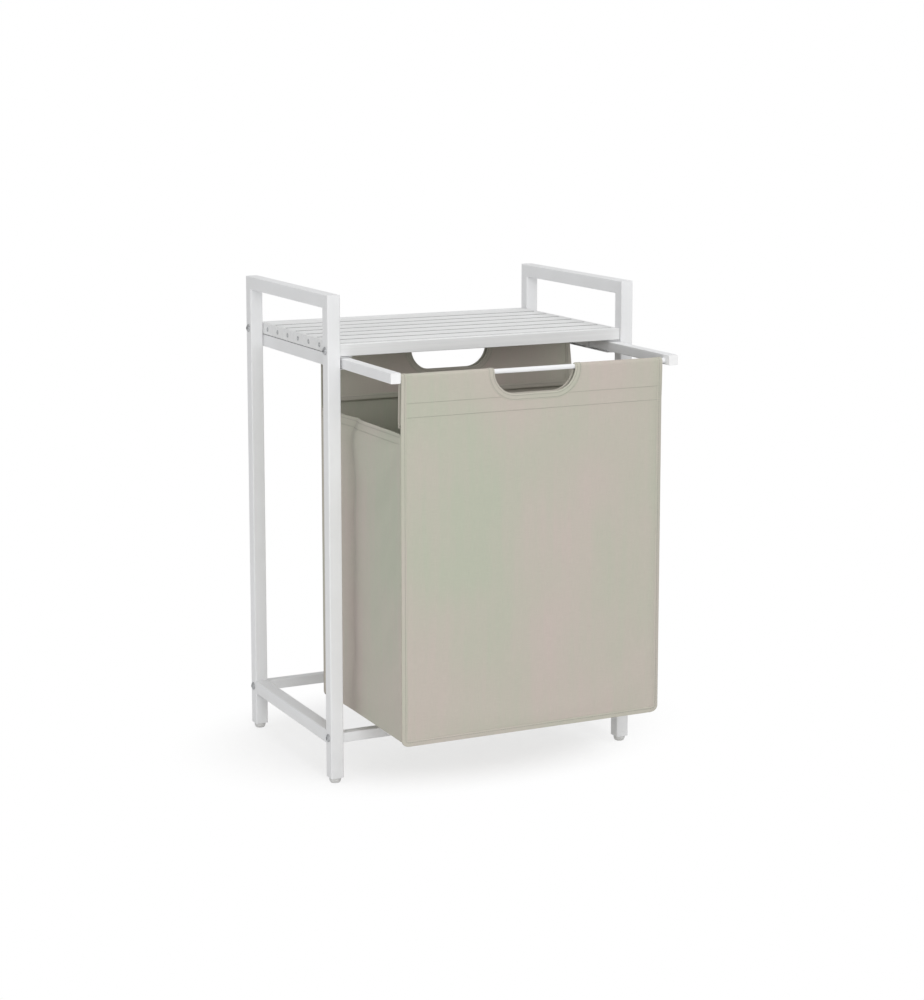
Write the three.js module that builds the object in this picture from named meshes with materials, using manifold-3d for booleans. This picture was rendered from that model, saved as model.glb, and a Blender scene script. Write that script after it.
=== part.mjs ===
// Slatted side table with a pull-out laundry bag.
// Millimetres, +Z up. X runs left to right, -Y is the front, towards which the bag is drawn out.
// The origin is on the floor, in the middle of the ground that the object covers with its bag drawn out.

import * as THREE from 'three';
import { mergeVertices } from 'three/addons/utils/BufferGeometryUtils.js';
import Module from 'manifold-3d';

const wasm = await Module();
wasm.setup();

// ---------- driving dimensions ----------

const frameWidth = 500;
const frameDepth = 330;
const frameHeight = 720;
const drawnOut = 170; // how far the slide rails stand out in front of the frame at rest
const gap = 0.3; // air between pieces that touch

const tubeSize = 20; // posts, handles and lower side rails
const tubeWall = 1.2;
const tubeCorner = 1.8;
const barSize = 15; // lower cross bars and slide rails
const barCorner = 1.4;

const footHeight = 8;
const lowerRailZ = 68; // middle height of the lower rails and bars

const shelfTop = 648;
const shelfThickness = 17.3;
const shelfRailWidth = 14;
const shelfInset = 4; // front rail's face behind the posts' face
const battenThickness = 5;
const slatCount = 7;
const slatPitch = 42;
const slatWidth = 36;
const slatThickness = 15;

const boltRadius = 3;
const boltHeadRadius = 6;
const boltHeadHeight = 3;
const boltReach = 10; // past the post, into the bar or the shelf rail
const boltHoleRadius = boltRadius + gap;

const guideWidth = 19.7;
const guideHeight = 18.2;
const guideWall = 1;
const guideTop = 629.8;
const guideSetback = 5; // guide's mouth behind the posts' face
const guideScrewInset = 6; // from each end of the guide
const guideScrewLength = 13.5;

const slideRailX = 220.2; // middle of each slide rail, left and right
const slideRailBottom = 613.1;
const slideRailLength = 315;
const pushIn = 165; // travel from rest to fully closed
const pullMore = 45; // travel from rest to fully drawn out

const hangBarRadius = 3.5;
const hangBarZ = 619.2;

const bagWidth = 416;
const bagDepth = 290;
const bagSetback = 10; // front panel behind the slide rails' front ends
const clothThickness = 1.2;
const panelBottom = 96; // the sewn edge hangs below the bag's floor
const panelCorner = 9;
const bagFloorZ = 105;
const sidePanelTop = 540;
const hemStitchZ = 576; // where the sleeve closes on the panel
const hemFlapBottom = 548;
const gripWidth = 130;
const gripBottom = 586;
const gripCorner = 34;
const baseBoardThickness = 2;

// ---------- places worked out from them ----------

const frameFront = (drawnOut - frameDepth) / 2;
const frameBack = frameFront + frameDepth;
const frameSide = frameWidth / 2;
const postX = frameSide - tubeSize / 2;
const postFrontY = frameFront + tubeSize / 2;
const postBackY = frameBack - tubeSize / 2;
const frameMiddleY = (frameFront + frameBack) / 2;
const innerX = frameSide - tubeSize; // inner faces of the posts
const shelfBottom = shelfTop - shelfThickness;
const shelfBoltZ = shelfTop - shelfThickness / 2;
const railFront = frameFront - drawnOut;
const bagFront = railFront + bagSetback;
const bagBack = bagFront + bagDepth;
const bagMiddleY = (bagFront + bagBack) / 2;
const sleeveRadius = hangBarRadius + gap + clothThickness;
const fine = 16; // facets round a small round piece

// ---------- materials ----------

function finish(color, roughness, metalness) {
  return new THREE.MeshStandardMaterial({ color, roughness, metalness });
}

const paintedSteel = finish(0xeceded, 0.45, 0.1);
const paintedBoard = finish(0xeff0f0, 0.5, 0);
const zincSteel = finish(0xd4d6d8, 0.35, 0.8);
const whitePlastic = finish(0xf2f2f2, 0.5, 0);
const footPlastic = finish(0xd9d9d6, 0.6, 0);
const bagCloth = finish(0xb9b9ab, 0.85, 0);
const boardPlastic = finish(0x9b9b90, 0.7, 0);

// ---------- shapes ----------

function roundedRectangle(width, height, radius) {
  const shape = new THREE.Shape();
  const x = width / 2 - radius;
  const y = height / 2 - radius;
  shape.absarc(x, y, radius, 0, Math.PI / 2);
  shape.absarc(-x, y, radius, Math.PI / 2, Math.PI);
  shape.absarc(-x, -y, radius, Math.PI, 1.5 * Math.PI);
  shape.absarc(x, -y, radius, 1.5 * Math.PI, 2 * Math.PI);
  shape.closePath();
  return shape;
}

// Draws a flat shape into a solid along Z, centred on Z = 0.
function extruded(shape, length, curveSegments = 2) {
  const geometry = new THREE.ExtrudeGeometry(shape, {
    depth: length,
    bevelEnabled: false,
    curveSegments,
  });
  return geometry.translate(0, 0, -length / 2);
}

// A square tube, open at both ends, along Z.
function squareTube(length, size, corner) {
  const shape = roundedRectangle(size, size, corner);
  const inside = size - 2 * tubeWall;
  shape.holes.push(roundedRectangle(inside, inside, corner - 0.6));
  return extruded(shape, length);
}

function alongX(geometry) {
  return geometry.rotateY(Math.PI / 2);
}

function alongY(geometry) {
  return geometry.rotateX(Math.PI / 2);
}

// Turns a profile drawn with (depth, height) as its (x, y) into a solid along X.
function profileAlongX(shape, length, curveSegments) {
  const turn = new THREE.Matrix4().makeBasis(
    new THREE.Vector3(0, 1, 0),
    new THREE.Vector3(0, 0, 1),
    new THREE.Vector3(1, 0, 0),
  );
  return extruded(shape, length, curveSegments).applyMatrix4(turn);
}

function box(low, high) {
  const size = high.map((value, i) => value - low[i]);
  const middle = high.map((value, i) => (value + low[i]) / 2);
  return new THREE.BoxGeometry(...size).translate(...middle);
}

function polygon(points) {
  return new THREE.Shape(points.map(([x, y]) => new THREE.Vector2(x, y)));
}

// A round piece about Z, from [radius, height] pairs that start and end on the axis.
function turned(points) {
  const profile = points.map(([r, z]) => new THREE.Vector2(r, z));
  return new THREE.LatheGeometry(profile, fine).rotateX(Math.PI / 2);
}

function toSolid(geometry) {
  const bare = geometry.clone();
  bare.deleteAttribute('normal');
  bare.deleteAttribute('uv');
  const merged = mergeVertices(bare, 1e-4);
  const mesh = new wasm.Mesh({
    numProp: 3,
    vertProperties: new Float32Array(merged.attributes.position.array),
    triVerts: new Uint32Array(merged.index.array),
  });
  return new wasm.Manifold(mesh);
}

function toGeometry(solid) {
  const mesh = solid.getMesh();
  const geometry = new THREE.BufferGeometry();
  geometry.setAttribute('position', new THREE.BufferAttribute(mesh.vertProperties, 3));
  geometry.setIndex(new THREE.BufferAttribute(mesh.triVerts, 1));
  geometry.computeVertexNormals();
  return geometry;
}

function cut(geometry, ...tools) {
  const result = tools.reduce((solid, tool) => solid.subtract(toSolid(tool)), toSolid(geometry));
  return toGeometry(result);
}

function join(geometry, ...others) {
  const result = others.reduce((solid, other) => solid.add(toSolid(other)), toSolid(geometry));
  return toGeometry(result);
}

function keep(geometry, part) {
  return toGeometry(toSolid(geometry).intersect(toSolid(part)));
}

// ---------- the assembly ----------

const sorter = new THREE.Group();

function place(name, geometry, material, x = 0, y = 0, z = 0, turn = 0) {
  const mesh = new THREE.Mesh(geometry, material);
  mesh.name = name;
  mesh.position.set(x, y, z);
  mesh.rotation.z = turn;
  sorter.add(mesh);
}

const sides = [
  ['left', -1],
  ['right', 1],
];
const corners = [
  ['front', postFrontY, 0],
  ['rear', postBackY, Math.PI],
];

// ---------- side frames: posts, handles and lower rails ----------

// A post stands on its foot and ends in a mitre that slopes up to its outer side, which is -Y here.
function postGeometry() {
  const length = frameHeight - footHeight;
  const tube = squareTube(length, tubeSize, tubeCorner).translate(0, 0, footHeight + length / 2);
  const half = tubeSize / 2;
  const past = tubeSize;
  const sideView = polygon([
    [-past, footHeight - past],
    [past, footHeight - past],
    [past, frameHeight - tubeSize - (past - half)],
    [-past, frameHeight + (past - half)],
  ]);
  const mitred = keep(tube, profileAlongX(sideView, 3 * tubeSize));
  const holes = [lowerRailZ, shelfBoltZ].map((z) =>
    alongX(new THREE.CylinderGeometry(boltHoleRadius, boltHoleRadius, 2 * tubeSize, fine)
      .rotateX(Math.PI / 2)).translate(0, 0, z));
  return cut(mitred, ...holes);
}

// A handle lies on top of two posts, mitred at both ends.
function handleGeometry() {
  const tube = alongY(squareTube(frameDepth, tubeSize, tubeCorner));
  const half = tubeSize / 2;
  const past = tubeSize;
  const long = frameDepth / 2 - gap * Math.SQRT2 + (past - half);
  const short = long - 2 * past;
  const sideView = polygon([
    [-short, -past],
    [short, -past],
    [long, past],
    [-long, past],
  ]);
  return keep(tube, profileAlongX(sideView, 3 * tubeSize));
}

for (const [side, sign] of sides) {
  for (const [corner, y, turn] of corners) {
    place(`${side}_${corner}_post`, postGeometry(), paintedSteel, sign * postX, y, 0, turn);
  }
  place(`${side}_handle_rail`, handleGeometry(), paintedSteel,
    sign * postX, frameMiddleY, frameHeight - tubeSize / 2);
  const lowerLength = frameDepth - 2 * tubeSize - 2 * gap;
  place(`${side}_lower_rail`, alongY(squareTube(lowerLength, tubeSize, tubeCorner)), paintedSteel,
    sign * postX, frameMiddleY, lowerRailZ);
}

// ---------- feet: a round glide under a plug that fills the post's end ----------

function footGeometry() {
  const top = footHeight - gap;
  const glide = turned([
    [0, 0],
    [6.6, 0],
    [7.4, 0.8],
    [8.7, 4.5],
    [8.7, top],
    [0, top],
  ]);
  const plugSize = tubeSize - 2 * tubeWall - 2 * gap;
  const plugHeight = 15;
  const plug = extruded(roundedRectangle(plugSize, plugSize, 1.2), plugHeight)
    .translate(0, 0, top + plugHeight / 2 - 0.5);
  return join(glide, plug);
}

for (const [side, sign] of sides) {
  for (const [corner, y] of corners) {
    place(`${side}_${corner}_foot`, footGeometry(), footPlastic, sign * postX, y);
  }
}

// ---------- lower cross bars and the plugs that take their bolts ----------

const crossLength = 2 * innerX - 2 * gap;
const insertLength = 16;

function insertGeometry() {
  const size = barSize - 2 * tubeWall - 2 * gap;
  const block = alongX(extruded(roundedRectangle(size, size, 1), insertLength));
  const bore = new THREE.CylinderGeometry(boltHoleRadius, boltHoleRadius, 2 * insertLength, fine)
    .rotateZ(Math.PI / 2);
  return cut(block, bore);
}

for (const [corner, y] of corners) {
  place(`lower_${corner}_bar`, alongX(squareTube(crossLength, barSize, barCorner)), paintedSteel,
    0, y, lowerRailZ);
  for (const [side, sign] of sides) {
    place(`${side}_${corner}_bar_insert`, insertGeometry(), whitePlastic,
      sign * (innerX - gap - insertLength / 2), y, lowerRailZ);
  }
}

// ---------- bolts: button heads outside the posts ----------

// The head's underside is at Z = 0 and the shank runs down from it.
function boltGeometry() {
  const reach = tubeSize + boltReach;
  return turned([
    [0, -reach],
    [boltRadius, -reach],
    [boltRadius, 0],
    [boltHeadRadius, 0],
    [boltHeadRadius, 0.7],
    [5.1, 1.9],
    [3.4, 2.7],
    [1.6, boltHeadHeight],
    [0, boltHeadHeight],
  ]);
}

for (const [side, sign] of sides) {
  for (const [corner, y] of corners) {
    for (const [level, z] of [['lower', lowerRailZ], ['shelf', shelfBoltZ]]) {
      const bolt = boltGeometry().rotateY(sign * Math.PI / 2);
      place(`${side}_${corner}_${level}_bolt`, bolt, zincSteel, sign * (frameSide + gap), y, z);
    }
  }
}

// ---------- shelf: two rails, two side battens and the slats between them ----------

const shelfFrontY = frameFront + shelfInset + shelfRailWidth / 2;
const shelfBackY = frameBack - shelfInset - shelfRailWidth / 2;
const shelfMiddleZ = shelfTop - shelfThickness / 2;

function shelfRailGeometry(boltOffset) {
  const rail = alongX(extruded(roundedRectangle(shelfThickness, shelfRailWidth, 1), crossLength));
  const holeLength = 2 * (boltReach + 2);
  const holes = sides.map(([, sign]) =>
    new THREE.CylinderGeometry(boltHoleRadius, boltHoleRadius, holeLength, fine)
      .rotateZ(Math.PI / 2)
      .translate(sign * crossLength / 2, boltOffset, 0));
  return cut(rail, ...holes);
}

place('shelf_front_rail', shelfRailGeometry(postFrontY - shelfFrontY), paintedBoard,
  0, shelfFrontY, shelfMiddleZ);
place('shelf_rear_rail', shelfRailGeometry(postBackY - shelfBackY), paintedBoard,
  0, shelfBackY, shelfMiddleZ);

const battenLength = shelfBackY - shelfFrontY - shelfRailWidth - 2 * gap;
for (const [side, sign] of sides) {
  const batten = alongY(extruded(roundedRectangle(battenThickness, shelfThickness, 0.8), battenLength));
  place(`shelf_${side}_batten`, batten, paintedBoard,
    sign * (innerX - gap - battenThickness / 2), frameMiddleY, shelfMiddleZ);
}

const slatLength = crossLength - 2 * battenThickness - 2 * gap;
for (let i = 0; i < slatCount; i += 1) {
  const slat = alongX(extruded(roundedRectangle(slatThickness, slatWidth, 1), slatLength));
  const y = frameMiddleY + (i - (slatCount - 1) / 2) * slatPitch;
  place(`shelf_slat_${i + 1}`, slat, paintedBoard, 0, y, shelfTop - slatThickness / 2);
}

// ---------- guides: channels under the shelf, open towards the middle ----------

const guideOuterX = innerX - gap;
const guideFront = frameFront + guideSetback;
const guideBack = frameBack - guideSetback;
const guideBottom = guideTop - guideHeight;
const railBack = railFront + slideRailLength;
const hangBackY = bagBack - sleeveRadius;
const stopTabLength = 9;
const screwX = innerX - 15;

// Each stop is a tab of the guide's own sheet. The rear one meets the rail's end when the bag is
// closed, and the front one meets the rear hanging bar when it is fully drawn out.
function guideGeometry(sign) {
  const outer = sign * guideOuterX;
  const tip = sign * (guideOuterX - guideWidth);
  const web = sign * (guideOuterX - guideWall);
  const section = polygon([
    [outer, guideBottom],
    [tip, guideBottom],
    [tip, guideBottom + guideWall],
    [web, guideBottom + guideWall],
    [web, guideTop - guideWall],
    [tip, guideTop - guideWall],
    [tip, guideTop],
    [outer, guideTop],
  ]);
  const length = guideBack - guideFront;
  const channel = alongY(extruded(section, length)).translate(0, frameMiddleY, 0);
  const rearStopY = railBack + pushIn + gap;
  const rearStop = box(
    [Math.min(outer, sign * slideRailX), rearStopY, guideBottom + 3],
    [Math.max(outer, sign * slideRailX), rearStopY + guideWall, guideTop - 3],
  );
  const tabBack = hangBackY - hangBarRadius - pullMore - gap;
  const frontStop = box(
    [Math.min(tip, tip + sign * guideWall), tabBack - stopTabLength, guideBottom],
    [Math.max(tip, tip + sign * guideWall), tabBack, hangBarZ + 2.5],
  );
  const holes = screwPlaces().map((y) =>
    new THREE.CylinderGeometry(2.5, 3.7, guideWall + 0.4, fine)
      .rotateX(Math.PI / 2)
      .translate(sign * screwX, y, guideTop - guideWall / 2));
  return cut(join(channel, rearStop, frontStop), ...holes);
}

function screwPlaces() {
  return [guideFront + guideScrewInset, guideBack - guideScrewInset];
}

// A countersunk screw, its head flush with the underside of the guide's upper flange.
function guideScrewGeometry() {
  return turned([
    [0, 0],
    [3.1, 0],
    [1.6, 1.8],
    [1.6, guideScrewLength - 1.5],
    [0.2, guideScrewLength],
    [0, guideScrewLength],
  ]);
}

// The screws' own holes in a rail of the shelf, blind from below.
const screwHeadZ = guideTop - guideWall + 0.1;
function withScrewHoles(name) {
  const rail = sorter.getObjectByName(name);
  const holeTop = screwHeadZ + guideScrewLength + gap - shelfMiddleZ;
  const holes = sides.map(([, sign]) =>
    new THREE.CylinderGeometry(1.9, 1.9, 2 * shelfThickness, fine)
      .rotateX(Math.PI / 2)
      .translate(sign * screwX, 0, holeTop - shelfThickness));
  rail.geometry = cut(rail.geometry, ...holes);
}

withScrewHoles('shelf_front_rail');
withScrewHoles('shelf_rear_rail');

for (const [side, sign] of sides) {
  place(`${side}_guide`, guideGeometry(sign), paintedSteel);
  screwPlaces().forEach((y, i) => {
    place(`${side}_${corners[i][0]}_guide_screw`, guideScrewGeometry(), zincSteel,
      sign * screwX, y, screwHeadZ);
  });
}

// ---------- slide rails with their end caps, and the bars that the bag hangs on ----------

const slideRailZ = slideRailBottom + barSize / 2;
const frontCapThickness = 2;
const rearCapThickness = 3;

function capGeometry(headThickness, headSize) {
  const plugSize = barSize - 2 * tubeWall - 2 * gap;
  const plugLength = 14;
  const head = extruded(roundedRectangle(headSize, headSize, barCorner), headThickness);
  const plug = extruded(roundedRectangle(plugSize, plugSize, 1), plugLength)
    .translate(0, 0, (headThickness + plugLength) / 2 - 0.5);
  return join(head, plug);
}

for (const [side, sign] of sides) {
  const tubeLength = slideRailLength - frontCapThickness - rearCapThickness - 2 * gap;
  const tubeFront = railFront + frontCapThickness + gap;
  const x = sign * slideRailX;
  place(`${side}_slide_rail`, alongY(squareTube(tubeLength, barSize, barCorner)), paintedSteel,
    x, tubeFront + tubeLength / 2, slideRailZ);
  const frontCap = capGeometry(frontCapThickness, barSize).rotateX(-Math.PI / 2);
  place(`${side}_slide_front_cap`, frontCap, whitePlastic,
    x, railFront + frontCapThickness / 2, slideRailZ);
  const rearCap = capGeometry(rearCapThickness, barSize + 0.4).rotateX(Math.PI / 2);
  place(`${side}_slide_rear_cap`, rearCap, whitePlastic,
    x, railBack - rearCapThickness / 2, slideRailZ);
}

const hangLength = 2 * (slideRailX - barSize / 2 - gap);
const hangPlaces = [
  ['front', bagFront + sleeveRadius],
  ['rear', hangBackY],
];
for (const [corner, y] of hangPlaces) {
  const bar = new THREE.CylinderGeometry(hangBarRadius, hangBarRadius, hangLength, fine)
    .rotateZ(Math.PI / 2);
  place(`${corner}_hanging_bar`, bar, paintedSteel, 0, y, hangBarZ);
}

// ---------- the bag: two hanging panels, two sides, a floor and its board ----------

// Drawn with depth 0 at the panel's outer face. The cloth goes over the bar in a round sleeve,
// comes down inside and ends in a flap.
function panelSection() {
  const shape = new THREE.Shape();
  const flapBack = 2 * clothThickness + 0.4;
  shape.moveTo(0, panelBottom);
  shape.lineTo(0, hangBarZ);
  shape.absarc(sleeveRadius, hangBarZ, sleeveRadius, Math.PI, 0, true);
  shape.lineTo(flapBack, hemStitchZ);
  shape.lineTo(flapBack, hemFlapBottom);
  shape.lineTo(clothThickness, hemFlapBottom);
  shape.lineTo(clothThickness, panelBottom);
  shape.closePath();
  const tunnel = new THREE.Path();
  tunnel.absarc(sleeveRadius, hangBarZ, hangBarRadius + gap, 0, 2 * Math.PI);
  shape.holes.push(tunnel);
  return shape;
}

// The grip is a half-moon that opens at the panel's top edge.
function gripCutter() {
  const half = gripWidth / 2;
  const top = hangBarZ + 4 * sleeveRadius;
  const shape = new THREE.Shape();
  shape.moveTo(-half, top);
  shape.lineTo(-half, gripBottom + gripCorner);
  shape.absarc(-half + gripCorner, gripBottom + gripCorner, gripCorner, Math.PI, 1.5 * Math.PI);
  shape.absarc(half - gripCorner, gripBottom + gripCorner, gripCorner, 1.5 * Math.PI, 2 * Math.PI);
  shape.lineTo(half, top);
  shape.closePath();
  return alongY(extruded(shape, 8 * sleeveRadius, 8));
}

function panelOutline() {
  const height = 2 * frameHeight;
  const outline = roundedRectangle(bagWidth, height, panelCorner);
  return alongY(extruded(outline, 8 * sleeveRadius, 5)).translate(0, 0, panelBottom + height / 2);
}

function hangingPanelGeometry() {
  const panel = profileAlongX(panelSection(), bagWidth, 8);
  return cut(keep(panel, panelOutline()), gripCutter());
}

place('bag_front_panel', hangingPanelGeometry(), bagCloth, 0, bagFront);
place('bag_rear_panel', hangingPanelGeometry(), bagCloth, 0, bagBack, 0, Math.PI);

const bagInsideY = bagDepth / 2 - clothThickness - gap;
for (const [side, sign] of sides) {
  const panel = box(
    [-clothThickness / 2, -bagInsideY, bagFloorZ],
    [clothThickness / 2, bagInsideY, sidePanelTop],
  );
  place(`bag_${side}_panel`, panel, bagCloth, sign * (bagWidth - clothThickness) / 2, bagMiddleY);
}

const bagInsideX = bagWidth / 2 - clothThickness - gap;
const floorPanel = box([-bagInsideX, -bagInsideY, 0], [bagInsideX, bagInsideY, clothThickness]);
place('bag_floor_panel', floorPanel, bagCloth, 0, bagMiddleY, bagFloorZ);

const boardWidth = 2 * (bagInsideX - 4);
const boardDepth = 2 * (bagInsideY - 4);
const board = extruded(roundedRectangle(boardWidth, boardDepth, 12), baseBoardThickness);
place('bag_base_board', board, boardPlastic,
  0, bagMiddleY, bagFloorZ + clothThickness + gap + baseBoardThickness / 2);

export default sorter;
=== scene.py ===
# Slatted side table with a laundry bag that draws out on two rails: the looks, built round the frame.
# Metres, +Z up, X from left to right, -Y the front. Places and sizes are read from the frame's own boxes.

import math

import bmesh
import bpy
import numpy as np
from mathutils import Matrix, Vector
from mathutils.geometry import delaunay_2d_cdt


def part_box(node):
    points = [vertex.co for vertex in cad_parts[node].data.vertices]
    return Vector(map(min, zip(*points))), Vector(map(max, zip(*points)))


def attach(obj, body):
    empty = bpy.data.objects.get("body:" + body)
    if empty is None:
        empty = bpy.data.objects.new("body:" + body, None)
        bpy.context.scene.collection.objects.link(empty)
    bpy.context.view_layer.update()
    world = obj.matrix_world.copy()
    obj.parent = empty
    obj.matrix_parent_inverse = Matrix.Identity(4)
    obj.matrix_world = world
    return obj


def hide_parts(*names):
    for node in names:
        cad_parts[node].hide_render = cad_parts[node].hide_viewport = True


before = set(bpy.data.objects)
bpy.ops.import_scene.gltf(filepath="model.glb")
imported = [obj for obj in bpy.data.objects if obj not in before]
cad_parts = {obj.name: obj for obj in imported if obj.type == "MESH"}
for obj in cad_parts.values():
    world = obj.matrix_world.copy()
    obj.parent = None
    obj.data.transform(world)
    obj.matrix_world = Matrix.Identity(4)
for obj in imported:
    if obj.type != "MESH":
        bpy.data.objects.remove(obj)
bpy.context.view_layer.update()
scene = bpy.context.scene
sides = {"left": -1, "right": 1}
ends = {"front": -1, "rear": 1}


def middle(node):
    low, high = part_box(node)
    return (low + high) / 2


def addNode(tree, kind, sources, **settings):  # each source is another node's socket or a plain value
    node = tree.nodes.new(kind)
    for name, value in settings.items():
        setattr(node, name, value)
    for socket, value in sources.items():
        if isinstance(value, bpy.types.NodeSocket):
            tree.links.new(value, node.inputs[socket])
        else:
            node.inputs[socket].default_value = value
    return node


# Camera

viewpoint = {
    "place": (-1.464, -3.026, 1.049),
    "turn": 25.835,  # degrees to the right of straight ahead
    "tilt": 8.563,  # degrees down
    "lens": 81.12,
    "shift": -0.10,
}


def makeCamera():
    lens = bpy.data.cameras.new("camera")
    lens.sensor_width = 36
    lens.lens = viewpoint["lens"]
    lens.shift_y = viewpoint["shift"]
    lens.clip_end = 100
    camera = bpy.data.objects.new("camera", lens)
    camera.location = viewpoint["place"]
    camera.rotation_euler = (math.radians(90 - viewpoint["tilt"]), 0, math.radians(-viewpoint["turn"]))
    scene.collection.objects.link(camera)
    scene.camera = camera


makeCamera()
print("camera ready")

# Studio

studio = {
    "floorSize": 60,
    "floorColor": (1, 1, 1, 1),
    "shadow": 0.34,  # how much of the floor's own shading is seen near the table
    "shadowSize": (0.34, 0.24),  # half the shaded area, across and deep
    "shadowMiddle": 0.10,
    "shadowReach": (0.7, 1.3),
    "roomLight": 0.68,  # the white room's own light
    "seenRoom": (1, 1, 1, 1),
    "lamps": [  # name, place, size, watts
        ("frontLamp", (-0.9, -3.4, 1.5), 1.5, 38),
        ("topLamp", (0.3, -0.5, 3.0), 2.0, 27),
        ("leftLamp", (-2.6, -0.9, 1.2), 1.4, 4),
    ],
    "aim": (0, 0, 0.35),
}


def makePaper():  # white paper that burns out to pure white away from the table
    paper = bpy.data.materials.new("paper")
    paper.use_nodes = True
    tree = paper.node_tree
    shader = tree.nodes["Principled BSDF"]
    shader.inputs["Base Color"].default_value = studio["floorColor"]
    shader.inputs["Roughness"].default_value = 0.9
    shader.inputs["Specular IOR Level"].default_value = 0.1
    wide, deep = studio["shadowSize"]
    near, far = studio["shadowReach"]
    spread = addNode(tree, "ShaderNodeMapping", {
        "Vector": addNode(tree, "ShaderNodeTexCoord", {}).outputs["Object"],
        "Location": (0, -studio["shadowMiddle"] / deep, 0),
        "Scale": (1 / wide, 1 / deep, 1),
    })
    away = addNode(tree, "ShaderNodeVectorMath", {0: spread.outputs[0]}, operation="LENGTH")
    fade = addNode(tree, "ShaderNodeMapRange", {
        "Value": away.outputs["Value"],
        "From Min": near,
        "From Max": far,
        "To Min": 1 - studio["shadow"],
    }, interpolation_type="SMOOTHSTEP")
    rays = addNode(tree, "ShaderNodeLightPath", {}).outputs["Is Camera Ray"]
    seen = addNode(tree, "ShaderNodeMath", {0: fade.outputs[0], 1: rays}, operation="MULTIPLY")
    glow = addNode(tree, "ShaderNodeEmission", {})
    sources = {0: seen.outputs[0], 1: shader.outputs[0], 2: glow.outputs[0]}
    mix = addNode(tree, "ShaderNodeMixShader", sources)
    tree.links.new(mix.outputs[0], tree.nodes["Material Output"].inputs["Surface"])
    return paper


def makeStudio():
    mesh = bpy.data.meshes.new("floor")
    half = studio["floorSize"] / 2
    corners = [(-half, -half, 0), (half, -half, 0), (half, half, 0), (-half, half, 0)]
    mesh.from_pydata(corners, [], [(0, 1, 2, 3)])
    floor = bpy.data.objects.new("floor", mesh)
    floor.location.z = -0.0001
    mesh.materials.append(makePaper())
    scene.collection.objects.link(floor)
    for name, place, size, watts in studio["lamps"]:
        lamp = bpy.data.lights.new(name, "AREA")
        lamp.size = size
        lamp.energy = watts
        holder = bpy.data.objects.new(name, lamp)
        holder.location = place
        aim = Vector(studio["aim"]) - Vector(place)
        holder.rotation_euler = aim.to_track_quat("-Z", "Y").to_euler()
        scene.collection.objects.link(holder)


def makeRoom():
    room = bpy.data.worlds.new("room")
    room.use_nodes = True
    tree = room.node_tree
    tree.nodes.clear()
    lit = addNode(tree, "ShaderNodeBackground", {"Strength": studio["roomLight"]})
    seen = addNode(tree, "ShaderNodeBackground", {"Color": studio["seenRoom"]})
    rays = addNode(tree, "ShaderNodeLightPath", {}).outputs["Is Camera Ray"]
    mix = addNode(tree, "ShaderNodeMixShader", {0: rays, 1: lit.outputs[0], 2: seen.outputs[0]})
    addNode(tree, "ShaderNodeOutputWorld", {"Surface": mix.outputs[0]})
    scene.world = room
    scene.view_settings.view_transform = "Standard"


makeStudio()
makeRoom()
print("studio ready")

# Helpers for finishes


class Finish:  # a material being put together
    def __init__(self, name):
        self.material = bpy.data.materials.new(name)
        self.material.use_nodes = True
        self.tree = self.material.node_tree
        self.shader = self.tree.nodes["Principled BSDF"]
        self.bumps = None

    def add(self, kind, sources, **settings):
        return addNode(self.tree, kind, sources, **settings)

    def mapped(self, vector, scale, turn=0.0):
        sources = {"Vector": vector, "Rotation": (0, 0, turn), "Scale": scale}
        return self.add("ShaderNodeMapping", sources).outputs[0]

    def place(self, scale=(1, 1, 1), shift=None):
        spot = self.add("ShaderNodeTexCoord", {}).outputs["Object"]
        if shift is not None:
            spot = self.add("ShaderNodeVectorMath", {0: spot, 1: shift}).outputs[0]
        return self.mapped(spot, scale)

    def noise(self, vector, scale, detail=2.0, roughness=0.5):
        sources = {"Vector": vector, "Scale": scale, "Detail": detail, "Roughness": roughness}
        return self.add("ShaderNodeTexNoise", sources).outputs["Fac"]

    def spread(self, value, low, high, fromLow=0.3, fromHigh=0.7):
        sources = {"Value": value, "From Min": fromLow, "From Max": fromHigh, "To Min": low, "To Max": high}
        return self.add("ShaderNodeMapRange", sources).outputs[0]

    def blend(self, factor, *shades):
        first, second = (s if isinstance(s, bpy.types.NodeSocket) else (*s, 1) for s in shades)
        return self.add("ShaderNodeMix", {0: factor, 6: first, 7: second}, data_type="RGBA").outputs[2]

    def math(self, operation, first, second=0.0):
        return self.add("ShaderNodeMath", {0: first, 1: second}, operation=operation).outputs[0]

    def color(self, value):
        self.tree.links.new(value, self.shader.inputs["Base Color"])

    def rough(self, value):
        self.tree.links.new(value, self.shader.inputs["Roughness"])

    def bump(self, height, depth, strength=1.0):
        sources = {"Height": height, "Distance": depth, "Strength": strength}
        if self.bumps is not None:
            sources["Normal"] = self.bumps
        self.bumps = self.add("ShaderNodeBump", sources).outputs[0]
        self.tree.links.new(self.bumps, self.shader.inputs["Normal"])

    def set(self, **values):
        names = {"specular": "Specular IOR Level", "metallic": "Metallic", "sheen": "Sheen Weight",
                 "sheenRoughness": "Sheen Roughness"}
        for name, value in values.items():
            self.shader.inputs[names[name]].default_value = value


# Finishes

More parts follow.
